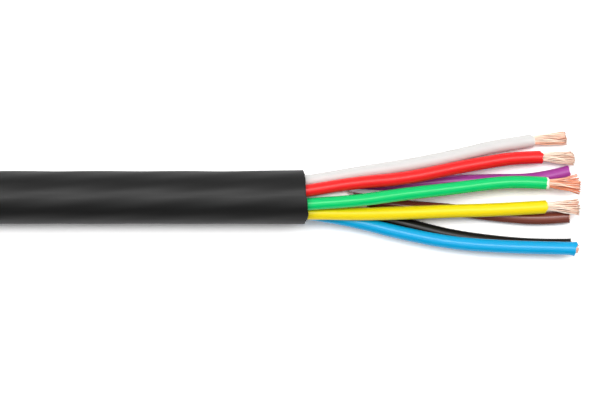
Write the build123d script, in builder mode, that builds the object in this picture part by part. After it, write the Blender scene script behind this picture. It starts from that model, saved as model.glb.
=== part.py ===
from build123d import *

import os
from math import ceil, cos, pi, radians, sin, tan

# A cut length of eight-core loudspeaker cable with one end opened: a round jacket, eight
# insulated cores laid round a filler, and bare copper on the four upper cores.
# The origin is the centre of the jacket's open mouth. +X runs along the cable towards the
# core tips, +Z is up from the table, and +Y is the side the white core leans to.
os.makedirs("parts", exist_ok=True)

# Jacket, in millimetres
jacket_length = 95.0
jacket_wall = 0.95
mouth_flare = 0.2
bore_flare = 0.35
mouth_taper = 20.0

# Cores
core_diameter = 3.0
lay_length = 165.0
first_core_angle = -67.5
points_per_turn = 12

# Copper: fifty strands in four rings, and the stripped length of the four upper cores
strand_diameter = 0.25
strand_counts = (4, 10, 15, 21)
bare_length = 7.9
strand_root = 0.08

# Filler: how far it stands out of the mouth, how it sags, and how its cut slants and faces up
filler_reach = 11.8
filler_sag = 0.42
filler_bend = 3.0
filler_cut_angle = 50.0
filler_cut_tilt = 20.0

# Clearances
lay_clearance = 0.08
jacket_clearance = 0.05
filler_clearance = 0.05
strand_gap = 0.012
bunch_margin = 0.03
conductor_clearance = 0.02
floor_clearance = 0.02

# An arc takes this share of the shorter of its two runs
arc_share = 0.45

# The free stretch of each core, chosen by eye: millimetres along the cable from the mouth,
# core diameters across it, and core diameters above the table, where 0 lies on it.
# The order is the order round the lay, starting beside the top.
routes = {
    "white": [(12, 2.00, 1.90), (24, 2.57, 1.43), (36, 3.37, 0.86), (46, 4.20, 0.33), (51.5, 4.47, 0.02),
              (56.4, 4.74, 0.0)],
    "red": [(12, 1.20, 2.58), (24, 1.52, 2.03), (36, 2.37, 1.39), (45, 2.92, 0.97), (52, 3.28, 0.67),
            (58.4, 3.33, 0.43)],
    "green": [(12, -0.30, 2.87), (24, 0.29, 2.19), (36, 0.73, 1.63), (47, 1.21, 1.19), (53.5, 1.30, 1.10),
              (59.6, 1.16, 1.03)],
    "yellow": [(12, -1.36, 1.86), (24, -1.27, 1.16), (36, -1.11, 1.03), (47, -1.02, 1.03), (59.6, -0.76, 0.9)],
    "blue": [(12, -1.95, 0.93), (24, -2.97, 0.76), (36, -3.75, 0.89), (48, -4.03, 1.03), (58, -4.15, 1.03),
             (66.5, -4.24, 1.0)],
    "black": [(12, -1.07, 0.09), (24, -2.13, 0.0), (36, -3.16, 0.0), (48, -3.69, 0.0), (58, -3.93, 0.0),
              (65.9, -3.89, 0.0)],
    "brown": [(12, -0.05, 0.03), (24, -0.74, 0.0), (36, -0.98, 0.0), (47, -1.42, 0.0), (58.5, -1.76, 0.0),
              (65.4, -1.53, 0.0)],
    "violet": [(12, 1.17, 0.83), (24, 1.02, 0.19), (36, 1.36, 0.0), (47, 1.41, 0.0), (57.5, 1.40, 0.0),
               (65.4, 2.17, 0.0)],
}

# How far each stripped core's strands fan out by their tips: sideways, up and down, and
# how far the whole bunch swings sideways and up, in millimetres
fans = {
    "white": (1.5, 1.15, -0.4, 0.1),
    "red": (1.55, 1.25, -0.2, 0.1),
    "green": (2.4, 1.2, 0.35, 0.1),
    "yellow": (2.05, 1.2, -0.35, 0.1),
}

core_radius = core_diameter / 2
core_step = 2 * pi / len(routes)
pitch_radius = (core_diameter + lay_clearance) / (2 * sin(core_step / 2))
bore_radius = pitch_radius + core_radius + jacket_clearance
jacket_radius = bore_radius + jacket_wall
table_level = -(jacket_radius + mouth_flare)
filler_radius = pitch_radius - core_radius - filler_clearance

strand_pitch = strand_diameter + strand_gap
ring_radii = [strand_pitch * (0.5**0.5 + ring) for ring in range(len(strand_counts))]
conductor_radius = ring_radii[-1] + strand_diameter / 2 + bunch_margin
insulation_bore = conductor_radius + conductor_clearance

far_cut = Plane(origin=(-jacket_length, 0, 0), z_dir=(1, 0, 0))


def route_points(name):
    """The corners of a core's route: its turn inside the jacket, then its free stretch."""
    start_angle = radians(first_core_angle) + list(routes).index(name) * core_step
    step = lay_length / points_per_turn
    corner_radius = pitch_radius / cos(pi / points_per_turn)
    points = []
    for count in range(ceil(jacket_length / step) + 1, -1, -1):
        angle = start_angle + 2 * pi * step * count / lay_length
        points.append(Vector(-step * count, -corner_radius * sin(angle), corner_radius * cos(angle)))
    lowest = table_level + core_radius + floor_clearance
    for along, across, height in routes[name]:
        points.append(Vector(along, across * core_diameter, lowest + height * core_diameter))
    return points


def arc_radii(points):
    """The radius of the arc at each inner point of a route."""
    radii = []
    for before, here, after in zip(points, points[1:], points[2:]):
        arriving, leaving = here - before, after - here
        half_turn = radians(arriving.get_angle(leaving)) / 2
        radii.append(arc_share * min(arriving.length, leaving.length) / tan(half_turn))
    return radii


def report_tube(name, volume, section_area, length, radii):
    """Print a tube's arcs, and its volume beside its section times its length."""
    print(name, "route", round(length, 1), "volume", round(volume, 1),
          "section x route", round(section_area * length, 1), "radii", [round(r) for r in radii])


def insulation(name):
    """A core's coloured insulation, a hollow tube cut flush at the far end."""
    points = route_points(name)
    with BuildPart() as sleeve:
        with BuildLine() as line:
            FilletPolyline(*points, radius=arc_radii(points))
        with BuildSketch(Plane(origin=points[0], z_dir=points[1] - points[0])):
            Circle(core_radius)
            Circle(insulation_bore, mode=Mode.SUBTRACT)
        route = line.wires()[0]
        sweep(path=route)
        section_area = pi * (core_radius**2 - insulation_bore**2)
        report_tube(name, sleeve.part.volume, section_area, route.length, arc_radii(points))
        split(bisect_by=far_cut)
    return sleeve.part


def strand_fan(name):
    """The loose strands of a stripped core, from the end of its bunch out to their tips."""
    end, before = route_points(name)[-1], route_points(name)[-2]
    across, up, swing, lift = fans[name]
    mouth = Plane(origin=end, x_dir=(0, 1, 0), z_dir=end - before)
    strands = []
    for ring, (count, radius) in enumerate(zip(strand_counts, ring_radii)):
        for place in range(count):
            angle = 2 * pi * (place + ring / 2) / count
            y, z = radius * cos(angle), radius * sin(angle)
            root = mouth.from_local_coords((y, z, -strand_root))
            tip = mouth.from_local_coords((y * across + swing, z * up + lift, bare_length))
            with BuildPart() as strand:
                with BuildSketch(Plane(origin=root, z_dir=tip - root)):
                    Circle(strand_diameter / 2)
                extrude(amount=(tip - root).length)
            strands.append(strand.part)
    return strands


def conductor(name):
    """A core's copper: one bunch inside the insulation, and loose strands where it is bare."""
    points = route_points(name)
    strands = strand_fan(name) if name in fans else []
    with BuildPart() as copper:
        with BuildLine() as line:
            FilletPolyline(*points, radius=arc_radii(points))
        with BuildSketch(Plane(origin=points[0], z_dir=points[1] - points[0])):
            Circle(conductor_radius)
        sweep(path=line.wires()[0])
        split(bisect_by=far_cut)
        add(strands)
    return copper.part


# The jacket opens a little towards its mouth, where the cores have been pulled apart
with BuildPart() as jacket:
    with BuildSketch(Plane.XZ):
        with BuildLine():
            Line((-jacket_length, bore_radius), (-jacket_length, jacket_radius))
            Line((-jacket_length, jacket_radius), (-mouth_taper, jacket_radius))
            TangentArc((-mouth_taper, jacket_radius), (0, jacket_radius + mouth_flare), tangent=(1, 0))
            Line((0, jacket_radius + mouth_flare), (0, bore_radius + bore_flare))
            TangentArc((-mouth_taper, bore_radius), (0, bore_radius + bore_flare), tangent=(1, 0))
            Line((-mouth_taper, bore_radius), (-jacket_length, bore_radius))
        make_face()
    revolve(axis=Axis.X)
jacket.part.label = "jacket"
export_step(jacket.part, "parts/jacket.step")

# The filler fills the middle of the lay, sags out of the mouth and ends in a slanted cut
filler_points = [
    Vector(-jacket_length, 0, 0),
    Vector(filler_bend, 0, 0),
    Vector(filler_reach + 2 * filler_radius, 0, -filler_sag * core_diameter),
]
with BuildPart() as filler:
    with BuildLine() as filler_line:
        FilletPolyline(*filler_points, radius=arc_radii(filler_points))
    with BuildSketch(far_cut):
        Circle(filler_radius)
    sweep(path=filler_line.wires()[0])
    cut_normal = Vector(-1, 0, 0).rotate(Axis.Y, -filler_cut_tilt).rotate(Axis.Z, filler_cut_angle)
    split(bisect_by=Plane(origin=(filler_reach, 0, 0), z_dir=cut_normal))
filler.part.label = "filler"
export_step(filler.part, "parts/filler.step")

for core_name in routes:
    for kind, make in (("insulation", insulation), ("conductor", conductor)):
        piece = make(core_name)
        piece.label = f"{core_name}_{kind}"
        export_step(piece, f"parts/{core_name}_{kind}.step")
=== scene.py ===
import math
import random

import bpy
from bpy.props import FloatProperty, FloatVectorProperty, PointerProperty
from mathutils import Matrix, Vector, noise


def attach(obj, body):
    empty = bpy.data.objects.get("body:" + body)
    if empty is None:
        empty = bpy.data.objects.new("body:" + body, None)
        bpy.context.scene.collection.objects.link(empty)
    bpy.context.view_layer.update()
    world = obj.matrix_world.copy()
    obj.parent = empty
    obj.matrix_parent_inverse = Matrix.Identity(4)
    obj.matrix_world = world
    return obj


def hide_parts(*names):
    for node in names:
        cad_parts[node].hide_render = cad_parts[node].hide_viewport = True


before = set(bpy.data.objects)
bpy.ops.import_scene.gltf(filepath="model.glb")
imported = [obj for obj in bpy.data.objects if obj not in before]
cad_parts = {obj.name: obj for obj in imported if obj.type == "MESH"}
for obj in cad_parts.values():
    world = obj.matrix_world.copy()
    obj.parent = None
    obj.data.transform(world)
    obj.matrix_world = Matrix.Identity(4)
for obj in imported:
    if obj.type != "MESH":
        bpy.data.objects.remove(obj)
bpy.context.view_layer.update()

bl_info = {
    "name": "Eight-core speaker cable",
    "version": (1, 0, 0),
    "blender": (4, 5, 0),
    "location": "View3D > Sidebar > Speaker Cable",
    "description": "A cut length of speaker cable with its cores fanned out and four of them stripped",
    "category": "Add Mesh",
}

MM = 0.001

# The free stretch of each core: metres along the cable from the mouth, core diameters across it,
# and core diameters above the table. The points are those of the part's source, and a few are
# moved by up to 0.3 mm.
ROUTES = {
    "white": [(0.012, 2.00, 1.90), (0.024, 2.57, 1.43), (0.036, 3.36, 0.86), (0.046, 4.18, 0.33),
              (0.0515, 4.46, 0.02), (0.0564, 4.73, 0.0)],
    "red": [(0.012, 1.20, 2.58), (0.024, 1.52, 2.03), (0.036, 2.37, 1.39), (0.045, 2.92, 0.97),
            (0.052, 3.28, 0.67), (0.0584, 3.33, 0.43)],
    "green": [(0.012, -0.30, 2.87), (0.024, 0.29, 2.19), (0.036, 0.73, 1.63), (0.047, 1.21, 1.19),
              (0.0535, 1.30, 1.10), (0.0596, 1.16, 1.03)],
    "yellow": [(0.012, -1.36, 1.86), (0.024, -1.27, 1.18), (0.036, -1.11, 1.09), (0.047, -1.02, 1.09),
               (0.0596, -0.76, 0.93)],
    "blue": [(0.012, -1.95, 0.93), (0.024, -2.97, 0.78), (0.036, -3.75, 0.93), (0.048, -4.03, 1.08),
             (0.058, -4.13, 1.1), (0.0665, -4.19, 1.1)],
    "black": [(0.012, -1.07, 0.09), (0.024, -2.13, 0.0), (0.036, -3.16, 0.0), (0.048, -3.69, 0.0),
              (0.058, -3.93, 0.0), (0.0659, -3.89, 0.0)],
    "brown": [(0.012, -0.05, 0.03), (0.024, -0.74, 0.0), (0.036, -1.01, 0.0), (0.047, -1.49, 0.0),
              (0.0585, -1.81, 0.0), (0.0654, -1.56, 0.0)],
    "violet": [(0.012, 1.20, 0.79), (0.024, 1.02, 0.19), (0.036, 1.36, 0.0), (0.047, 1.45, 0.0),
               (0.0575, 1.46, 0.0), (0.0654, 2.17, 0.0)],
}

# How each core's insulation looks where it lies free, in millimetres: how much thicker it is
# there, how far its squeezed lip stands out, and how wide its whitened rim is.
CORES = {
    "white": {"swell": 0.14, "lip": 0.0, "rim": 0.15},
    "red": {"swell": 0.09, "lip": 0.03, "rim": 0.06},
    "green": {"swell": 0.05, "lip": 0.0, "rim": 0.5},
    "yellow": {"swell": 0.15, "lip": 0.0, "rim": 0.12},
    "blue": {"swell": 0.12, "lip": 0.2, "rim": 0.06},
    "black": {"swell": 0.02, "lip": 0.06, "rim": 0.05},
    "brown": {"swell": 0.08, "lip": 0.05, "rim": 0.05},
    "violet": {"swell": 0.04, "lip": 0.06, "rim": 0.05},
}

# The finish of each core, from 0 to 1: how white its rim is, the roughness and gloss of its
# surface, and how much light goes into it.
FINISHES = {
    "white": {"whitening": 0.3, "roughness": 0.4, "gloss": 0.34, "depth": 0.2},
    "red": {"whitening": 0.2, "roughness": 0.3, "gloss": 0.38, "depth": 0.3},
    "green": {"whitening": 0.95, "roughness": 0.18, "gloss": 0.32, "depth": 0.1},
    "yellow": {"whitening": 0.4, "roughness": 0.34, "gloss": 0.34, "depth": 0.1},
    "blue": {"whitening": 0.2, "roughness": 0.2, "gloss": 0.38, "depth": 0.1},
    "black": {"whitening": 0.1, "roughness": 0.32, "gloss": 0.34, "depth": 0.0},
    "brown": {"whitening": 0.15, "roughness": 0.26, "gloss": 0.55, "depth": 0.0},
    "violet": {"whitening": 0.15, "roughness": 0.3, "gloss": 0.36, "depth": 0.2},
}

# The outline of each hand-made cut seen from above: the place across the tube, from 1 on its
# +Y side to -1 on its -Y side, and how far the cut stands out there in millimetres.
CUTS = {
    "white": [(1.0, -0.55), (0.5, 0.05), (0.0, 0.25), (-0.6, 0.1), (-1.0, -0.2)],
    "red": [(1.0, -0.7), (0.35, 0.15), (-0.2, -0.35), (-0.6, 0.0), (-1.0, -0.05)],
    "green": [(1.0, -0.15), (0.55, 0.15), (0.1, 0.0), (-0.5, 0.25), (-1.0, 0.1)],
    "yellow": [(1.0, -0.55), (0.6, -0.25), (0.0, -0.15), (-0.5, -0.3), (-1.0, -1.0)],
    "blue": [(1.0, 0.1), (0.6, 0.25), (0.1, -0.2), (-0.5, -0.35), (-1.0, -0.6)],
    "black": [(1.0, -0.2), (0.8, -0.35), (0.2, -0.3), (-1.0, -0.1)],
    "brown": [(1.0, 0.1), (0.4, -0.1), (0.0, -0.45), (-0.4, -0.2), (-1.0, -0.25)],
    "violet": [(1.0, -0.05), (0.4, -0.15), (-0.3, -0.2), (-1.0, -0.4)],
    "jacket": [(1.0, -1.0), (0.8, -0.2), (0.5, -0.15), (0.1, 0.0), (-0.1, 0.3), (-0.5, 0.4), (-0.65, 0.6),
               (-0.8, 0.35), (-1.0, -0.45)],
}

# How the bare strands of the four upper cores open out by their tips: how many times wider and
# higher than the bunch, how far the bunch swings to +Y in millimetres, and how late the strands
# bend.
FANS = {
    "white": {"across": 1.6, "up": 1.15, "swing": -0.85, "late": 0.8},
    "red": {"across": 1.7, "up": 1.2, "swing": -0.6, "late": 1.0},
    "green": {"across": 2.5, "up": 1.25, "swing": 0.15, "late": 1.7},
    "yellow": {"across": 2.05, "up": 1.2, "swing": -0.55, "late": 1.5},
}

# The same strands' length, how much shorter they are on the +Y side and how far single ones
# stray, in millimetres, and how bright the copper is, from 0 to 1.
STRANDS = {
    "white": {"length": 8.25, "trim": 0.0, "stray": 0.1, "bright": 0.8},
    "red": {"length": 8.15, "trim": 0.4, "stray": 0.1, "bright": 1.0},
    "green": {"length": 8.25, "trim": 1.5, "stray": 0.25, "bright": 0.44},
    "yellow": {"length": 7.9, "trim": 0.0, "stray": 0.15, "bright": 1.0},
}

# How far the longest strands stand out of the cores that aren't stripped, in millimetres
STRANDS_OUT = {"blue": 0.8, "black": 0.1, "brown": 0.2, "violet": 0.15}

# Strands in each ring of a conductor, from its middle out, and route points in one turn of the lay
STRAND_COUNTS = (4, 10, 15, 21)
POINTS_PER_TURN = 12

# The colour of PVC where a stripper has stretched and torn it
TORN_PVC = "#FFFBE8"

# How many points a ring of each piece has, and how many steps a bare strand is drawn in
JACKET_SIDES = 128
FILLER_SIDES = 72
CORE_SIDES = 40
BUNCH_SIDES = 16
STUB_SIDES = 10
STRAND_SIDES = 8
STRAND_STEPS = 16


def linear(hex_colour):
    """An sRGB hex colour as linear red, green and blue."""
    values = [int(hex_colour[i:i + 2], 16) / 255 for i in (1, 3, 5)]
    return tuple(v / 12.92 if v <= 0.04045 else ((v + 0.055) / 1.055) ** 2.4 for v in values)


def length_property(name, description, default):
    """A length in metres that a user can change."""
    return FloatProperty(name=name, description=description, default=default, unit="LENGTH", precision=5)


def angle_property(name, description, degrees):
    """An angle that a user can change."""
    return FloatProperty(name=name, description=description, default=math.radians(degrees), subtype="ANGLE")


def level_property(name, description, default):
    """A brightness that a user can change."""
    return FloatProperty(name=name, description=description, default=default, min=0.0)


def colour_property(name, hex_colour):
    """A surface colour that a user can change."""
    return FloatVectorProperty(
        name=name, description=f"Colour of the {name.lower()}", default=linear(hex_colour),
        subtype="COLOR", size=3, min=0.0, max=1.0,
    )


class SpeakerCableSizes(bpy.types.PropertyGroup):
    """Real sizes of the cable."""

    jacket_length: length_property("Jacket length", "From the far cut to the opened mouth", 0.095)
    jacket_diameter: length_property("Jacket diameter", "Over the jacket, away from its mouth", 0.01305)
    jacket_wall: length_property("Jacket wall", "Thickness of the jacket", 0.00095)
    mouth_flare: length_property("Mouth flare", "How far the cut mouth stands out", 0.0002)
    bore_flare: length_property("Bore flare", "How far the bore opens at the mouth", 0.00035)
    mouth_taper: length_property("Mouth taper", "Length over which the mouth opens", 0.02)
    lump_height: length_property("Lump height", "How far the cores show through the jacket", 0.000085)
    core_diameter: length_property("Core diameter", "Over a core's insulation", 0.003)
    core_bore: length_property("Core bore", "Inside a core's insulation", 0.00229)
    lay_length: length_property("Lay length", "One full turn of the cores", 0.165)
    lay_clearance: length_property("Lay clearance", "Between neighbouring cores", 0.00008)
    floor_clearance: length_property("Floor clearance", "Under the lowest cores", 0.00002)
    first_angle: angle_property("First core angle", "Place of the white core round the cable", -67.5)
    strand_diameter: length_property("Strand diameter", "One copper strand", 0.00025)
    strand_pitch: length_property("Strand pitch", "Between the rings of strands", 0.000262)
    filler_diameter: length_property("Filler diameter", "The string in the middle of the lay", 0.00492)
    filler_reach: length_property("Filler reach", "How far the filler stands out of the mouth", 0.0118)
    filler_sag: length_property("Filler sag", "How far the filler's end drops", 0.001)
    filler_slant: angle_property("Filler slant", "Slant of the filler's cut, seen from above", 50.0)
    filler_tilt: angle_property("Filler tilt", "How far the filler's cut faces up", 13.0)


class SpeakerCableColours(bpy.types.PropertyGroup):
    """Colours of the cable's plastics and copper."""

    jacket: colour_property("Jacket", "#101010")
    filler: colour_property("Filler", "#FCFAF7")
    copper: colour_property("Copper", "#FFEFDE")
    white: colour_property("White core", "#D9D7D5")
    red: colour_property("Red core", "#F21A1B")
    green: colour_property("Green core", "#00D070")
    yellow: colour_property("Yellow core", "#FFDF00")
    blue: colour_property("Blue core", "#00A8E1")
    black: colour_property("Black core", "#121212")
    brown: colour_property("Brown core", "#803D2C")
    violet: colour_property("Violet core", "#AA429F")


class SpeakerCableStage(bpy.types.PropertyGroup):
    """The floor, the lamps and the camera."""

    floor_size: length_property("Floor size", "Side of the square floor", 6.0)
    field_width: length_property("Field width", "Width that the camera takes in at the cable's axis", 0.14706)
    camera_x: length_property("Camera X", "Where the camera looks, along the cable", -0.00147)
    camera_y: length_property("Camera Y", "Where the camera looks, across the cable", -0.00061)
    strip_height: length_property("Strip height", "Height of the long softbox", 0.6)
    strip_side: length_property("Strip side", "How far the long softbox stands to +Y", 0.15)
    strip_width: length_property("Strip width", "Width of the long softbox", 0.24)
    strip_length: length_property("Strip length", "Length of the long softbox", 1.3)
    strip_radiance: level_property("Strip radiance", "Brightness of the long softbox", 4.5)
    side_height: length_property("Side height", "Height of the side softbox", 0.6)
    side_distance: length_property("Side distance", "How far the side softbox stands to +Y", 0.75)
    side_width: length_property("Side width", "Width of the side softbox", 0.8)
    side_length: length_property("Side length", "Length of the side softbox", 1.4)
    side_radiance: level_property("Side radiance", "Brightness of the side softbox", 0.6)
    ambient: level_property("Ambient", "Brightness of the room", 0.41)
    ceiling: level_property("Ceiling", "Brightness of the ceiling in reflections", 0.07)
    glow: level_property("Glow", "Brightness round the long softbox in reflections", 1.75)
    floor_gain: level_property("Floor gain", "How much whiter the floor is as seen", 0.53)


# Meshes

def spline_line(name, points):
    """The smooth line of a route: the points of its NURBS spline."""
    curve = bpy.data.curves.new(name, "CURVE")
    curve.dimensions = "3D"
    curve.resolution_u = 64
    spline = curve.splines.new("NURBS")
    spline.points.add(len(points) - 1)
    for control, point in zip(spline.points, points):
        control.co = (*point, 1.0)
    spline.order_u = 3
    spline.use_endpoint_u = True
    holder = bpy.data.objects.new(name, curve)
    mesh = bpy.data.meshes.new_from_object(holder)
    line = [vertex.co.copy() for vertex in mesh.vertices]
    bpy.data.objects.remove(holder)
    bpy.data.curves.remove(curve)
    bpy.data.meshes.remove(mesh)
    return line


def line_length(line):
    """Length of a line of points."""
    return sum((b - a).length for a, b in zip(line, line[1:]))


def starting_at(line, x):
    """The part of a line past the plane at x, with a point on that plane."""
    for i, (a, b) in enumerate(zip(line, line[1:])):
        if a.x <= x < b.x:
            return [a.lerp(b, (x - a.x) / (b.x - a.x)), *line[i + 1:]]
    raise ValueError(f"the line doesn't cross x = {x}")


def thinned(line, step, tip):
    """Every step-th point of a line, and every point of its last stretch."""
    return [point for i, point in enumerate(line) if i % step == 0 or (line[-1] - point).length < tip]


def line_frames(line):
    """For each point of a line, its direction, its side towards +Y and its upper side."""
    frames = []
    for i, point in enumerate(line):
        before = line[max(i - 1, 0)]
        after = line[min(i + 1, len(line) - 1)]
        along = (after - before).normalized()
        side = (Vector((0, 1, 0)) - along * along.y).normalized()
        frames.append((point, along, side, along.cross(side)))
    return frames


def ring(frame_at, radius, sides, shift=0.0):
    """A ring of points round a line. Radius and shift are numbers or functions of the angle."""
    point, along, side, up = frame_at
    points = []
    for k in range(sides):
        angle = 2 * math.pi * k / sides
        r = radius(angle) if callable(radius) else radius
        s = shift(angle) if callable(shift) else shift
        points.append(point + side * (r * math.cos(angle)) + up * (r * math.sin(angle)) + along * s)
    return points


def flattened(points, x):
    """The same points, moved along the cable onto the plane at x."""
    return [Vector((x, p.y, p.z)) for p in points]


def above_table(points, clearance):
    """The same points, none lower than a clearance over the table."""
    lowest = table_level() + clearance
    return [Vector((p.x, p.y, max(p.z, lowest))) for p in points]


class Skin:
    """Collects rings of points as one closed mesh, with one value for the finish at each point."""

    def __init__(self):
        self.points = []
        self.faces = []
        self.values = []

    def add_ring(self, points, value):
        """Add a ring and return the number of its first point."""
        self.points.extend(points)
        self.values.extend([value] * len(points))
        return len(self.points) - len(points)

    def join(self, low, high, sides):
        """Join two rings by quads."""
        for k in range(sides):
            after = (k + 1) % sides
            self.faces.append((low + k, low + after, high + after, high + k))

    def add_rings(self, rings, values=None, loop=False, start_cap=False, end_cap=False):
        """Add rings of equally many points and join them in order."""
        sides = len(rings[0])
        values = values or [0.0] * len(rings)
        firsts = [self.add_ring(points, value) for points, value in zip(rings, values)]
        for low, high in zip(firsts, firsts[1:]):
            self.join(low, high, sides)
        if loop:
            self.join(firsts[-1], firsts[0], sides)
        if start_cap:
            self.faces.append(tuple(firsts[0] + k for k in reversed(range(sides))))
        if end_cap:
            self.faces.append(tuple(firsts[-1] + k for k in range(sides)))

    def make(self, name, material, attribute=None):
        """Turn the skin into a smooth-shaded object, with its values under an attribute's name."""
        mesh = bpy.data.meshes.new(name)
        mesh.from_pydata(self.points, [], self.faces)
        mesh.validate()
        if attribute:
            mesh.attributes.new(attribute, "FLOAT", "POINT").data.foreach_set("value", self.values)
        mesh.shade_smooth()
        mesh.materials.append(material)
        piece = bpy.data.objects.new(name, mesh)
        bpy.context.scene.collection.objects.link(piece)
        return piece


def cut_edge(name, seed, rough):
    """A function that says how far a hand-made cut stands out at an angle round its tube, in metres. Rough
    is the size of its tears in millimetres. The underside is cut straighter than the top."""
    table = CUTS[name]

    def stands_out(place):
        for (a, low), (b, high) in zip(table, table[1:]):
            if a >= place >= b:
                return low + (high - low) * (a - place) / (a - b)
        return table[-1][1]

    def shift(angle):
        side, up = math.cos(angle), math.sin(angle)
        torn = noise.noise(Vector((side * 2.5, up * 2.5, seed)))
        torn += 0.5 * noise.noise(Vector((side * 7, up * 7, seed + 5)))
        return MM * (stands_out(side) * (0.75 + 0.25 * up) + rough * torn)
    return shift


def core_line(name):
    """The centreline of a core, from the far cut to its tip."""
    sizes = bpy.context.scene.speaker_cable_sizes
    count = len(ROUTES)
    start = sizes.first_angle + list(ROUTES).index(name) * 2 * math.pi / count
    pitch_radius = (sizes.core_diameter + sizes.lay_clearance) / (2 * math.sin(math.pi / count))
    corner = pitch_radius / math.cos(math.pi / POINTS_PER_TURN)
    step = sizes.lay_length / POINTS_PER_TURN
    points = []
    for k in range(math.ceil(sizes.jacket_length / step) + 1, -1, -1):
        angle = start + 2 * math.pi * step * k / sizes.lay_length
        points.append(Vector((-step * k, -corner * math.sin(angle), corner * math.cos(angle))))
    lowest = table_level() + sizes.core_diameter / 2 + sizes.floor_clearance
    for x, across, height in ROUTES[name]:
        points.append(Vector((x, across * sizes.core_diameter, lowest + height * sizes.core_diameter)))
    line = starting_at(spline_line(name, points), -sizes.jacket_length)
    return thinned(line, 4, 1.8 * MM)


def table_level():
    """Height of the table, just under the jacket's mouth."""
    sizes = bpy.context.scene.speaker_cable_sizes
    return -(sizes.jacket_diameter / 2 + sizes.mouth_flare)


# Materials

def add_node(tree, kind, inputs=None, **settings):
    """Add a node, set its properties, and fill its inputs with values or links."""
    node = tree.nodes.new(kind)
    for key, value in settings.items():
        setattr(node, key, value)
    for key, value in (inputs or {}).items():
        if isinstance(value, bpy.types.NodeSocket):
            tree.links.new(value, node.inputs[key])
        else:
            node.inputs[key].default_value = value
    return node


def new_material(name):
    """An empty node material: its tree and its output node."""
    material = bpy.data.materials.new(name)
    material.use_nodes = True
    material.node_tree.nodes.clear()
    output = material.node_tree.nodes.new("ShaderNodeOutputMaterial")
    return material, material.node_tree, output


def marks(along, across):
    """The scale of a pattern with this many marks to the millimetre, along the cable and across it."""
    return (along / MM, across / MM, across / MM)


def shaded(colour, *share):
    """A colour for a socket, multiplied by one share or by one for each channel."""
    shares = share * 3 if len(share) == 1 else share
    return (*[min(1.0, c * s) for c, s in zip(colour, shares)], 1.0)


def extruded_jacket_pvc(colour):
    """Soft black PVC drawn off an extruder: satin, with faint drag lines 0.4 mm apart along the cable and
    a matt grain, so its highlight is broad and slightly streaked. The grain is drawn as coarse as 0.2 mm,
    which is what it takes to show."""
    material, tree, output = new_material("extruded_jacket_pvc")
    place = add_node(tree, "ShaderNodeTexCoord").outputs["Object"]
    stretched = add_node(tree, "ShaderNodeMapping", {"Vector": place, "Scale": marks(0.04, 2.5)})
    drag = add_node(
        tree, "ShaderNodeTexNoise",
        {"Vector": stretched.outputs[0], "Scale": 1.0, "Detail": 3.0},
    )
    grain = add_node(tree, "ShaderNodeTexNoise", {"Vector": place, "Scale": 5 / MM, "Detail": 2.0})
    relief = add_node(
        tree, "ShaderNodeMath",
        {0: drag.outputs["Fac"], 1: grain.outputs["Fac"]}, operation="ADD",
    )
    bump = add_node(
        tree, "ShaderNodeBump",
        {"Height": relief.outputs[0], "Strength": 0.25, "Distance": 0.02 * MM},
    )
    smear = add_node(
        tree, "ShaderNodeMapRange",
        {"Value": drag.outputs["Fac"], "From Min": 0.3, "From Max": 0.7, "To Min": 0.44, "To Max": 0.52},
    )
    shade = add_node(
        tree, "ShaderNodeMixRGB",
        {"Fac": drag.outputs["Fac"], "Color1": shaded(colour, 0.9), "Color2": shaded(colour, 1.15)},
    )
    shader = add_node(
        tree, "ShaderNodeBsdfPrincipled",
        {"Base Color": shade.outputs[0], "Roughness": smear.outputs[0], "IOR": 1.5,
         "Specular IOR Level": 0.33, "Normal": bump.outputs[0]},
    )
    tree.links.new(shader.outputs[0], output.inputs["Surface"])
    return material


def extruded_core_pvc(name, colour):
    """Hard PVC core insulation from an extruder: one even colour under a narrow highlight, which wavers
    with flats about 8 mm long, and a torn, whitened rim where the stripper pulled it."""
    finish = FINISHES[name]
    material, tree, output = new_material(f"extruded_core_pvc_{name}")
    place = add_node(tree, "ShaderNodeTexCoord").outputs["Object"]
    stretched = add_node(tree, "ShaderNodeMapping", {"Vector": place, "Scale": marks(0.12, 0.9)})
    wave = add_node(
        tree, "ShaderNodeTexNoise",
        {"Vector": stretched.outputs[0], "Scale": 1.0, "Detail": 2.0},
    )
    bump = add_node(
        tree, "ShaderNodeBump",
        {"Height": wave.outputs["Fac"], "Strength": 0.2, "Distance": 0.02 * MM},
    )
    even = add_node(
        tree, "ShaderNodeMixRGB",
        {"Fac": wave.outputs["Fac"], "Color1": shaded(colour, 0.95), "Color2": shaded(colour, 1.05)},
    )
    from_tip = add_node(tree, "ShaderNodeAttribute", attribute_name="from_tip").outputs["Fac"]
    tear = add_node(tree, "ShaderNodeTexNoise", {"Vector": place, "Scale": 1.6 / MM, "Detail": 3.0})
    ragged = 0.7
    torn = add_node(
        tree, "ShaderNodeMath",
        {0: tear.outputs["Fac"], 1: ragged, 2: from_tip}, operation="MULTIPLY_ADD",
    )
    limit = CORES[name]["rim"] + ragged / 2
    white = add_node(
        tree, "ShaderNodeMapRange",
        {"Value": torn.outputs[0], "From Min": limit - 0.05, "From Max": limit + 0.05,
         "To Min": finish["whitening"], "To Max": 0.0},
    )
    rimmed = add_node(
        tree, "ShaderNodeMixRGB",
        {"Fac": white.outputs[0], "Color1": even.outputs[0], "Color2": (*linear(TORN_PVC), 1.0)},
    )
    shader = add_node(
        tree, "ShaderNodeBsdfPrincipled",
        {"Base Color": rimmed.outputs[0], "Roughness": finish["roughness"], "IOR": 1.53,
         "Specular IOR Level": finish["gloss"], "Subsurface Weight": finish["depth"],
         "Subsurface Scale": 0.6 * MM, "Subsurface Radius": (1.0, 1.0, 1.0), "Normal": bump.outputs[0]},
    )
    tree.links.new(shader.outputs[0], output.inputs["Surface"])
    return material


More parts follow.
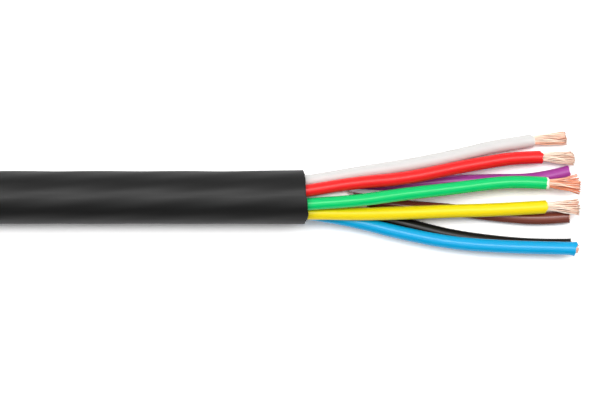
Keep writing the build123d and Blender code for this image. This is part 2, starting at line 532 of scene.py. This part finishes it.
def drawn_copper(colour):
    """Bright annealed copper wire, drawn through a die: pale salmon metal with lengthwise scratches, and
    strands that differ in tone from nearly white to brown. The scratches are too fine to show, so they are
    drawn 0.1 mm apart."""
    material, tree, output = new_material("drawn_copper_wire")
    place = add_node(tree, "ShaderNodeTexCoord").outputs["Object"]
    tone = add_node(tree, "ShaderNodeAttribute", attribute_name="tone")
    stretched = add_node(tree, "ShaderNodeMapping", {"Vector": place, "Scale": marks(0.3, 9)})
    scratch = add_node(
        tree, "ShaderNodeTexNoise",
        {"Vector": stretched.outputs[0], "Scale": 1.0, "Detail": 2.0},
    )
    mixed = add_node(
        tree, "ShaderNodeMixRGB",
        {"Fac": tone.outputs["Fac"], "Color1": shaded(colour, 0.9, 0.4, 0.26), "Color2": shaded(colour, 1.0)},
    )
    bump = add_node(
        tree, "ShaderNodeBump",
        {"Height": scratch.outputs["Fac"], "Strength": 0.3, "Distance": 0.01 * MM},
    )
    shader = add_node(
        tree, "ShaderNodeBsdfPrincipled",
        {"Base Color": mixed.outputs[0], "Metallic": 1.0, "Roughness": 0.42, "Normal": bump.outputs[0]},
    )
    tree.links.new(shader.outputs[0], output.inputs["Surface"])
    return material


def spun_filler_string(colour):
    """Spun white filler string: matt and fibrous, with grooves 0.2 mm apart along it, and its cut face
    painted greyer as painted shade, since the face turns away from the light."""
    material, tree, output = new_material("spun_filler_string")
    place = add_node(tree, "ShaderNodeTexCoord").outputs["Object"]
    cut = add_node(tree, "ShaderNodeAttribute", attribute_name="cut_face")
    stretched = add_node(tree, "ShaderNodeMapping", {"Vector": place, "Scale": marks(0.25, 5)})
    fibre = add_node(
        tree, "ShaderNodeTexNoise",
        {"Vector": stretched.outputs[0], "Scale": 1.0, "Detail": 4.0},
    )
    shade = add_node(
        tree, "ShaderNodeMixRGB",
        {"Fac": fibre.outputs["Fac"], "Color1": shaded(colour, 0.92), "Color2": shaded(colour, 1.0)},
    )
    # Painted shade: the cut face is painted greyer, since it turns away from the light.
    ends = add_node(
        tree, "ShaderNodeMixRGB",
        {"Fac": cut.outputs["Fac"], "Color1": shade.outputs[0], "Color2": shaded(colour, 0.92, 0.85, 0.8)},
    )
    bump = add_node(
        tree, "ShaderNodeBump",
        {"Height": fibre.outputs["Fac"], "Strength": 0.6, "Distance": 0.05 * MM},
    )
    shader = add_node(
        tree, "ShaderNodeBsdfPrincipled",
        {"Base Color": ends.outputs[0], "Roughness": 0.85, "IOR": 1.49, "Subsurface Weight": 0.6,
         "Subsurface Scale": 1.5 * MM, "Subsurface Radius": (1.0, 1.0, 1.0), "Normal": bump.outputs[0]},
    )
    tree.links.new(shader.outputs[0], output.inputs["Surface"])
    return material


def painted_floor(gain):
    """White painted floor. The camera sees it lighter than it lights the cable, and away from the cable it
    is plain white, so it reads as a white ground that still holds the cable's shadow. Reflections see a
    little of that white."""
    material, tree, output = new_material("white_painted_floor")
    rays = add_node(tree, "ShaderNodeLightPath").outputs
    mirrored = add_node(
        tree, "ShaderNodeMath",
        {0: rays["Is Glossy Ray"], 1: rays["Is Transmission Ray"]}, operation="MAXIMUM",
    )
    faint = add_node(
        tree, "ShaderNodeMath",
        {0: mirrored.outputs[0], 1: 0.1, 2: 0.9}, operation="MULTIPLY_ADD",
    )
    level = add_node(
        tree, "ShaderNodeMath",
        {0: rays["Is Camera Ray"], 1: gain, 2: faint.outputs[0]}, operation="MULTIPLY_ADD",
    )
    white = add_node(tree, "ShaderNodeCombineColor", {channel: level.outputs[0] for channel in range(3)})
    paint = add_node(tree, "ShaderNodeBsdfDiffuse", {"Color": white.outputs[0]})
    place = add_node(tree, "ShaderNodeTexCoord").outputs["Object"]
    away = add_node(tree, "ShaderNodeVectorMath", {0: place}, operation="LENGTH").outputs["Value"]
    share = add_node(tree, "ShaderNodeMath", {0: mirrored.outputs[0], 1: 0.3}, operation="MULTIPLY")
    seen = add_node(
        tree, "ShaderNodeMath",
        {0: rays["Is Camera Ray"], 1: share.outputs[0]}, operation="MAXIMUM",
    )
    fade = add_node(
        tree, "ShaderNodeMapRange",
        {"Value": away, "From Min": 0.15, "From Max": 0.6, "To Min": 0.0, "To Max": seen.outputs[0]},
    )
    glow = add_node(tree, "ShaderNodeEmission", {"Strength": fade.outputs[0]})
    both = add_node(tree, "ShaderNodeAddShader", {0: paint.outputs[0], 1: glow.outputs[0]})
    tree.links.new(both.outputs[0], output.inputs["Surface"])
    return material


# Pieces

def present(piece, slot, *nodes):
    """Make a piece ride on the cable and stand for its CAD nodes, which are hidden. The slot is not used."""
    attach(piece, "root")
    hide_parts(*nodes)


class SPEAKERCABLE_OT_jacket(bpy.types.Operator):
    """Add the black outer jacket, lumpy over the cores, with a hand-cut mouth"""

    bl_idname = "speaker_cable.jacket"
    bl_label = "Add jacket"

    def execute(self, context):
        sizes = context.scene.speaker_cable_sizes
        length, wall = sizes.jacket_length, sizes.jacket_wall
        edge, cut_reach = 0.12 * MM, 3 * MM
        bevel = edge * 0.3
        steps_outside, steps_inside, path_steps = 190, 29, 20
        cut = cut_edge("jacket", seed=7.0, rough=0.12)
        rings = [
            self.lathe(sizes, -length, -edge, 0.0),
            self.lathe(sizes, -length + bevel, -bevel, 0.0),
        ]
        for i in range(steps_outside + 1):
            x = -length + edge + (length - 2 * edge) * i / steps_outside
            share = max(0.0, 1 + x / cut_reach)
            rings.append(self.lathe(sizes, x, 0.0, 0.0, lambda angle, share=share: cut(angle) * share))
        rings += [
            self.lathe(sizes, -bevel, -bevel, 0.0, cut),
            self.lathe(sizes, 0.0, -edge, 0.0, cut),
            self.lathe(sizes, 0.0, edge, wall, cut),
            self.lathe(sizes, -edge, 0.0, wall, cut),
        ]
        for i in range(steps_inside + 1):
            x = -cut_reach - (length - cut_reach - edge) * i / steps_inside
            rings.append(self.lathe(sizes, x, 0.0, wall))
        rings.append(self.lathe(sizes, -length, edge, wall))
        skin = Skin()
        skin.add_rings(rings, loop=True)
        material = extruded_jacket_pvc(context.scene.speaker_cable_colours.jacket)
        piece = skin.make("sheath", material)
        present(piece, "jacket_pvc", "jacket")
        return {"FINISHED"}

    def lathe(self, sizes, x, offset, wall, shift=0.0):
        """A ring of the jacket: outside if it has no wall, else inside. The mouth flares most on its +Y
        side."""
        lean = 0.55
        opened = max(0.0, 1 + x / sizes.mouth_taper) ** 2
        axis = (Vector((x, 0, 0)), Vector((1, 0, 0)), Vector((0, 1, 0)), Vector((0, 0, 1)))

        def radius_at(angle):
            radius = sizes.jacket_diameter / 2 - wall + offset
            if wall:
                return radius + sizes.bore_flare * opened
            flare = sizes.mouth_flare * opened * (1 + lean * math.cos(angle))
            return radius + flare + self.lump(sizes, x, angle)
        return ring(axis, radius_at, JACKET_SIDES, shift)

    def lump(self, sizes, x, angle):
        """Height of the cores showing through, which turn with the lay and show less on the -Y side. They
        come and go by a drift about 17 mm long."""
        start, drift_scale, lowered = 1.2 * MM, 0.06 / MM, 0.3
        turned = math.pi / 2 - angle + sizes.first_angle - 2 * math.pi * (x - start) / sizes.lay_length
        wave = 0.5 * math.cos(len(ROUTES) * turned) * (1 - 0.6 * max(0.0, -math.cos(angle)))
        drift = 0.4 * noise.noise(Vector((x * drift_scale, math.cos(angle), math.sin(angle))))
        return sizes.lump_height * (wave + drift - lowered)


class SPEAKERCABLE_OT_filler(bpy.types.Operator):
    """Add the spun filler string in the middle of the lay"""

    bl_idname = "speaker_cable.filler"
    bl_label = "Add filler"

    def execute(self, context):
        sizes = context.scene.speaker_cable_sizes
        radius = sizes.filler_diameter / 2
        straight = [Vector((x, 0, 0)) for x in (-sizes.jacket_length, -60 * MM, -20 * MM, 3 * MM)]
        end = Vector((sizes.filler_reach + 2 * radius, 0, -sizes.filler_sag))
        line = thinned(spline_line("filler", [*straight, end]), 3, 0.0)
        slant = math.tan(sizes.filler_slant)
        tilt = math.tan(sizes.filler_tilt) / math.cos(sizes.filler_slant)
        tear_scale = 2.5 / MM

        def cut(point):
            """The point moved back along the cable onto the torn, slanted cut."""
            torn = noise.noise(Vector((point.y * tear_scale, point.z * tear_scale, 3.0))) * 0.3 * MM
            return Vector((sizes.filler_reach - point.y * slant - point.z * tilt + torn, point.y, point.z))

        rings = []
        for at in line_frames(line):
            def grooved(angle, x=at[0].x):
                """The radius at an angle, with soft grooves along the string."""
                groove = noise.noise(Vector((math.cos(angle) * 9, math.sin(angle) * 9, x * 0.04 / MM)))
                return radius * (0.98 + 0.04 * groove)
            points = ring(at, grooved, FILLER_SIDES)
            rings.append([p if p.x < cut(p).x else cut(p) for p in points])
        skin = Skin()
        skin.add_rings(rings, start_cap=True)
        outer = rings[-1]
        middle = sum(outer, Vector()) / FILLER_SIDES
        last = len(skin.points) - FILLER_SIDES
        for share in (0.97, 0.66, 0.33):
            inner = skin.add_ring([cut(middle.lerp(p, share)) for p in outer], 1.0)
            skin.join(last, inner, FILLER_SIDES)
            last = inner
        skin.faces.append(tuple(last + k for k in range(FILLER_SIDES)))
        material = spun_filler_string(context.scene.speaker_cable_colours.filler)
        piece = skin.make("filler_string", material, "cut_face")
        present(piece, "filler_string", "filler")
        return {"FINISHED"}


class SPEAKERCABLE_OT_conductors(bpy.types.Operator):
    """Add the copper: a bunch in each core, cut strands at its ends, bare fans on the four upper cores"""

    bl_idname = "speaker_cable.conductors"
    bl_label = "Add conductors"

    def execute(self, context):
        copper = drawn_copper(context.scene.speaker_cable_colours.copper)
        for name in ROUTES:
            piece = self.bunch(context.scene.speaker_cable_sizes, name, copper)
            present(piece, "copper", f"{name}_conductor")
        return {"FINISHED"}

    def bunch(self, sizes, name, copper):
        """One core's copper as one piece: a round bunch inside the insulation, and single strands where
        they show."""
        chance = random.Random(f"strands of {name}")
        frames = line_frames(core_line(name))
        point, along, side, up = frames[0]
        far_end = (point, -along, side, up)
        bright = STRANDS[name]["bright"] if name in STRANDS else 0.5
        skin = Skin()
        clearance = 0.08 * MM
        heart = [ring(at, sizes.core_bore / 2 - clearance, BUNCH_SIDES) for at in frames[1:-8:2]]
        skin.add_rings(heart, [bright] * len(heart), start_cap=True, end_cap=True)
        for level, count in enumerate(STRAND_COUNTS):
            reach = sizes.strand_pitch * (0.5 ** 0.5 + level)
            for place in range(count):
                angle = 2 * math.pi * (place + level / 2) / count
                offset = (reach * math.cos(angle), reach * math.sin(angle))
                tone = min(1.0, max(0.0, bright + chance.uniform(-0.5, 0.35)))
                self.stub(skin, sizes, far_end, offset, chance.uniform(-0.16, 0.0) * MM, tone)
                if name in FANS:
                    line = self.bare_strand(sizes, chance, name, frames[-1], offset)
                    self.strand(skin, sizes, line, tone)
                else:
                    stand = chance.uniform(-0.35, STRANDS_OUT[name]) * MM
                    self.stub(skin, sizes, frames[-1], offset, stand, tone)
        return skin.make(f"{name}_copper", copper, "tone")

    def stub(self, skin, sizes, at, offset, stand, tone):
        """A strand's cut end, level with the insulation give or take a little."""
        point, along, side, up = at
        across, above = offset
        root = point + side * across + up * above
        radius, depth = sizes.strand_diameter / 2, 1.2 * MM
        stations = [(-depth, radius), (stand - radius * 0.4, radius), (stand, radius * 0.75)]
        rings = [ring((root + along * s, along, side, up), r, STUB_SIDES) for s, r in stations]
        if along.x < 0:
            rings = [list(reversed(points)) for points in rings]
        skin.add_rings(rings, [tone] * len(rings), start_cap=True, end_cap=True)

    def bare_strand(self, sizes, chance, name, at, offset):
        """The line of a loose strand, out of the insulation to its cut tip. The bunch springs open where the
        insulation lets go, turns a little and fans out. Strands that start side by side bend nearly alike,
        which draws them into locks."""
        fan, copper = FANS[name], STRANDS[name]
        point, along, side, up = at
        across, above = offset
        off_centre = math.hypot(across, above) / sizes.core_bore
        trimmed = 1.2 * off_centre ** 2 * (fan["across"] - 1)
        trimmed += copper["trim"] * max(0.0, 2 * across / sizes.core_bore) ** 2
        length = (copper["length"] + chance.uniform(-0.4, 0.2) - trimmed) * MM
        inside, held = 0.9 * MM, 0.4 * MM
        phase = chance.uniform(0, 2 * math.pi)
        wander = chance.uniform(0.01, 0.06) * MM
        stray = chance.gauss(0, copper["stray"]) * MM
        lift = chance.gauss(0, 0.05) * MM
        twist, sprung = math.radians(16), 0.06
        lock_width, lock_length = 1.15 / MM, 0.24 / MM
        line = []
        for i in range(STRAND_STEPS + 1):
            s = -inside + (length + inside) * i / STRAND_STEPS
            out = max(0.0, s - held) / length
            loosened = 1 + sprung * min(1.0, out * 6)
            fanned = out ** fan["late"]
            wider = loosened + (fan["across"] - 1 - sprung) * fanned
            higher = loosened + (fan["up"] - 1 - sprung) * fanned
            turn = twist * out
            y = across * math.cos(turn) - above * math.sin(turn)
            z = across * math.sin(turn) + above * math.cos(turn)
            lock = Vector((across * lock_width, above * lock_width, s * lock_length))
            sway = 0.5 * MM * noise.noise(lock + Vector((0, 0, copper["length"])))
            nod = 0.3 * MM * noise.noise(lock + Vector((9, 0, copper["length"])))
            ripple = wander * math.sin(phase + out * 7)
            free = min(1.0, out * 1.6)
            y = y * wider + (fan["swing"] * MM + stray * out) * out + (sway + ripple) * free
            z = z * higher + lift * out * out + (nod + 0.5 * ripple) * free
            line.append(point + along * s + side * y + up * z)
        return above_table(line, sizes.strand_diameter * 0.52)

    def strand(self, skin, sizes, line, tone):
        """A strand along a line, with a pinched cut tip. Its tone deepens towards the tip."""
        frames = line_frames(line)
        radius, deepening = sizes.strand_diameter / 2, 0.22
        rings = [ring(at, radius, STRAND_SIDES) for at in frames]
        rings.append(ring(frames[-1], radius * 0.6, STRAND_SIDES, radius * 0.35))
        tones = [max(0.0, tone - deepening * (i / len(frames)) ** 2) for i in range(len(rings))]
        skin.add_rings(rings, tones, start_cap=True, end_cap=True)


class SPEAKERCABLE_OT_cores(bpy.types.Operator):
    """Add the eight coloured insulations along their real routes"""

    bl_idname = "speaker_cable.cores"
    bl_label = "Add cores"

    def execute(self, context):
        sizes = context.scene.speaker_cable_sizes
        colours = context.scene.speaker_cable_colours
        for name in ROUTES:
            line = core_line(name)
            material = extruded_core_pvc(name, getattr(colours, name))
            piece = self.insulation(sizes, name, line, material)
            present(piece, f"{name}_pvc", f"{name}_insulation")
        return {"FINISHED"}

    def insulation(self, sizes, name, line, material):
        """A core's insulation: a hollow tube, flat at the far cut and torn at its tip. Where it lies free it
        swells and is a little uneven, and its squeezed lip stands out most on the -Y side."""
        form = CORES[name]
        seed = list(ROUTES).index(name) * 11.3
        cut, cut_reach = cut_edge(name, seed, rough=0.14), 2.2 * MM
        radius, bore = sizes.core_diameter / 2, sizes.core_bore / 2
        edge = 0.05 * MM
        far, far_value = -sizes.jacket_length, 99.0
        free_from, free_over = 8 * MM, 12 * MM
        frames = line_frames(line)
        left = line_length(line)
        outer, tips = [], []

        def squeezed(angle):
            """How much of the lip stands out at an angle."""
            return 0.9 - 0.4 * math.cos(angle)

        for i, at in enumerate(frames):
            if i:
                left -= (line[i] - line[i - 1]).length
            x = at[0].x
            near = max(0.0, 1 - left / cut_reach)
            free = min(1.0, max(0.0, (x - free_from) / free_over))
            dent = noise.noise(Vector((x * 0.16 / MM, seed, 0.0))) * 0.008 * MM

            def radius_at(angle, thicker=dent + form["swell"] * MM * free, lip=form["lip"] * MM * near ** 2):
                return radius + thicker + lip * squeezed(angle)

            def shift_at(angle, near=near):
                return cut(angle) * near
            outer.append(above_table(ring(at, radius_at, CORE_SIDES, shift_at), 0.01 * MM))
            tips.append(left / MM)
        outer[0] = flattened(outer[0], far + edge)
        outer.insert(0, flattened(ring(frames[0], radius - edge, CORE_SIDES), far))
        tips.insert(0, far_value)

        def lip_at(angle):
            return radius - edge + (form["swell"] + form["lip"] * squeezed(angle)) * MM
        end = frames[-1]
        rim = [
            above_table(ring(end, lip_at, CORE_SIDES, lambda angle: cut(angle) + edge), 0.02 * MM),
            ring(end, bore + edge, CORE_SIDES, lambda angle: cut(angle) + edge * 0.8),
            ring(end, bore, CORE_SIDES, lambda angle: cut(angle) - edge),
        ]
        inner = [ring(at, bore, CORE_SIDES) for at in frames[-12:2:-3]]
        inner.append(flattened(ring(frames[0], bore, CORE_SIDES), far + edge))
        inner.append(flattened(ring(frames[0], bore + edge, CORE_SIDES), far))
        skin = Skin()
        skin.add_rings(outer + rim + inner, tips + [0.0] * len(rim) + [far_value] * len(inner), loop=True)
        return skin.make(f"{name}_core", material, "from_tip")


class SPEAKERCABLE_OT_stage(bpy.types.Operator):
    """Add the white floor, the softboxes, the room's light and the camera"""

    bl_idname = "speaker_cable.stage"
    bl_label = "Add stage"

    def execute(self, context):
        stage = context.scene.speaker_cable_stage
        self.camera(context, stage)
        self.floor(stage)
        self.room(context, stage)
        self.softbox("strip_softbox", stage.strip_radiance, stage.strip_length, stage.strip_width,
                     Vector((0, stage.strip_side, stage.strip_height)), Vector((0, stage.strip_side, 0)))
        self.softbox("side_softbox", stage.side_radiance, stage.side_length, stage.side_width,
                     Vector((0, stage.side_distance, stage.side_height)), Vector((0, 0, 0)))
        return {"FINISHED"}

    def camera(self, context, stage):
        """The camera, straight above the cable, as far off as a 100 mm lens has to be."""
        lens = bpy.data.cameras.new("camera")
        lens.lens = 100
        lens.sensor_width = 36
        lens.clip_start = 0.01
        height = stage.field_width * lens.lens / lens.sensor_width
        camera = bpy.data.objects.new("camera", lens)
        camera.location = (stage.camera_x, stage.camera_y, height)
        context.scene.collection.objects.link(camera)
        context.scene.camera = camera
        context.scene.view_settings.view_transform = "Standard"

    def floor(self, stage):
        """A square white floor at the table's level."""
        half = stage.floor_size / 2
        corners = [(-half, -half, 0), (half, -half, 0), (half, half, 0), (-half, half, 0)]
        mesh = bpy.data.meshes.new("floor")
        mesh.from_pydata(corners, [], [(0, 1, 2, 3)])
        floor = bpy.data.objects.new("floor", mesh)
        floor.location.z = table_level()
        mesh.materials.append(painted_floor(stage.floor_gain))
        bpy.context.scene.collection.objects.link(floor)

    def room(self, context, stage):
        """A white horizon as seen, a dark ceiling in reflections, and an even room light."""
        world = bpy.data.worlds.new("studio_room")
        context.scene.world = world
        world.use_nodes = True
        tree = world.node_tree
        tree.nodes.clear()
        rays = add_node(tree, "ShaderNodeLightPath").outputs
        mirrored = add_node(
            tree, "ShaderNodeMath",
            {0: rays["Is Glossy Ray"], 1: rays["Is Transmission Ray"]}, operation="MAXIMUM",
        )
        direction = add_node(tree, "ShaderNodeTexCoord").outputs["Generated"]
        height = add_node(tree, "ShaderNodeSeparateXYZ", {0: direction}).outputs["Z"]
        wall = add_node(
            tree, "ShaderNodeMapRange",
            {"Value": height, "From Min": 0.02, "From Max": 0.12, "To Min": 1.0, "To Max": stage.ceiling},
        )
        glow = add_node(
            tree, "ShaderNodeMapRange",
            {"Value": height, "From Min": 0.72, "From Max": 1.0, "To Min": 0.0, "To Max": stage.glow},
        )
        above = add_node(tree, "ShaderNodeMath", {0: wall.outputs[0], 1: glow.outputs[0]}, operation="ADD")
        even = add_node(
            tree, "ShaderNodeMix",
            {0: mirrored.outputs[0], 2: stage.ambient, 3: above.outputs[0]},
        )
        strength = add_node(tree, "ShaderNodeMix", {0: rays["Is Camera Ray"], 2: even.outputs[0], 3: 1.0})
        background = add_node(
            tree, "ShaderNodeBackground",
            {"Color": (1, 1, 1, 1), "Strength": strength.outputs[0]},
        )
        output = add_node(tree, "ShaderNodeOutputWorld")
        tree.links.new(background.outputs[0], output.inputs["Surface"])

    def softbox(self, name, radiance, length, width, place, target):
        """A rectangular softbox that faces a point, with an even surface brightness."""
        lamp = bpy.data.lights.new(name, "AREA")
        lamp.shape = "RECTANGLE"
        lamp.size, lamp.size_y = length, width
        lamp.energy = radiance * math.pi * length * width
        box = bpy.data.objects.new(name, lamp)
        box.location = place
        box.rotation_euler = (target - place).to_track_quat("-Z", "Y").to_euler()
        bpy.context.scene.collection.objects.link(box)


class SPEAKERCABLE_PT_panel(bpy.types.Panel):
    """Speaker cable: its pieces, sizes, colours and stage"""

    bl_label = "Speaker Cable"
    bl_idname = "SPEAKERCABLE_PT_panel"
    bl_space_type = "VIEW_3D"
    bl_region_type = "UI"
    bl_category = "Speaker Cable"

    def draw(self, context):
        column = self.layout.column()
        for operator in OPERATORS:
            column.operator(operator.bl_idname)
        for group in GROUPS:
            settings = getattr(context.scene, group)
            column.separator()
            for name in settings.__annotations__:
                column.prop(settings, name)


OPERATORS = (
    SPEAKERCABLE_OT_stage,
    SPEAKERCABLE_OT_jacket,
    SPEAKERCABLE_OT_conductors,
    SPEAKERCABLE_OT_cores,
    SPEAKERCABLE_OT_filler,
)
GROUPS = {
    "speaker_cable_sizes": SpeakerCableSizes,
    "speaker_cable_colours": SpeakerCableColours,
    "speaker_cable_stage": SpeakerCableStage,
}
CLASSES = (*GROUPS.values(), *OPERATORS, SPEAKERCABLE_PT_panel)


def register():
    for cls in CLASSES:
        bpy.utils.register_class(cls)
    for name, group in GROUPS.items():
        setattr(bpy.types.Scene, name, PointerProperty(type=group))


def unregister():
    for name in GROUPS:
        delattr(bpy.types.Scene, name)
    for cls in reversed(CLASSES):
        bpy.utils.unregister_class(cls)


def main():
    register()
    bpy.ops.speaker_cable.stage()
    bpy.ops.speaker_cable.jacket()
    bpy.ops.speaker_cable.conductors()
    bpy.ops.speaker_cable.cores()
    bpy.ops.speaker_cable.filler()


if __name__ == "__main__":
    main()
